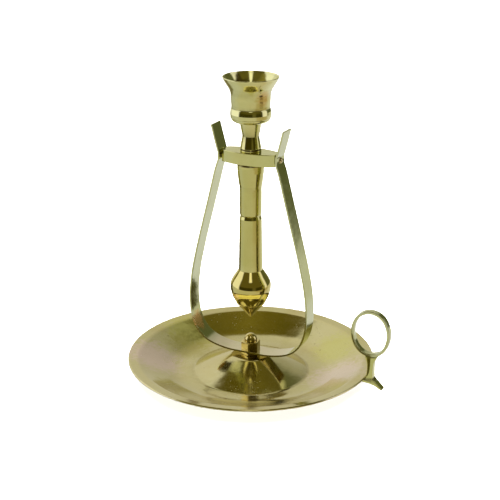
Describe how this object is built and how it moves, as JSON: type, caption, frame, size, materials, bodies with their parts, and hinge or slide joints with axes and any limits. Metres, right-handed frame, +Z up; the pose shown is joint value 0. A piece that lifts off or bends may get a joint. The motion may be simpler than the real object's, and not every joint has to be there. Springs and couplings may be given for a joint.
{
  "type": "swinging chamber candlestick",
  "caption": "Brass chamber candlestick: a weighted candle column swings on a cross bar between the arms of a strap yoke, on a wide drip dish with a finger ring.",
  "frame": {"origin": "on the column axis, at the level of the surface that the dish stands on", "axes": "+Z up along the hanging column, +X towards the finger ring, in the plane of the yoke"},
  "size_m": [0.1804, 0.165, 0.2018],
  "materials": {
    "spun_brass": "polished, lightly tarnished, with a few specks",
    "turned_brass": "polished, fine turning marks",
    "strip_brass": "polished strip, rubbed edges",
    "cast_brass": "polished casting",
    "fastener_brass": "bright with dark recesses"
  },
  "bodies": {
    "base": {"dish": "spun_brass", "handle_bracket": "cast_brass", "finger_ring": "cast_brass", "yoke_strap": "strip_brass", "base_bolt": "fastener_brass", "base_washer": "fastener_brass", "spacer_nut": "fastener_brass", "cap_nut": "fastener_brass"},
    "column": {"cross_bar": "strip_brass", "pivot_rivets": "fastener_brass", "pivot_washers": "fastener_brass", "candle_cup": "turned_brass", "cup_screw": "fastener_brass", "neck_spool": "turned_brass", "bar_stud": "fastener_brass", "upper_stem": "turned_brass", "lower_stem": "turned_brass", "bulb_weight": "turned_brass", "tip_finial": "turned_brass", "joining_studs": "fastener_brass"}
  },
  "joints": [
    {"name": "column_swing", "type": "hinge", "parent": "base", "child": "column", "pos_m": [0, 0, 0.15], "axis": [1, 0, 0], "continuous": true}
  ]
}
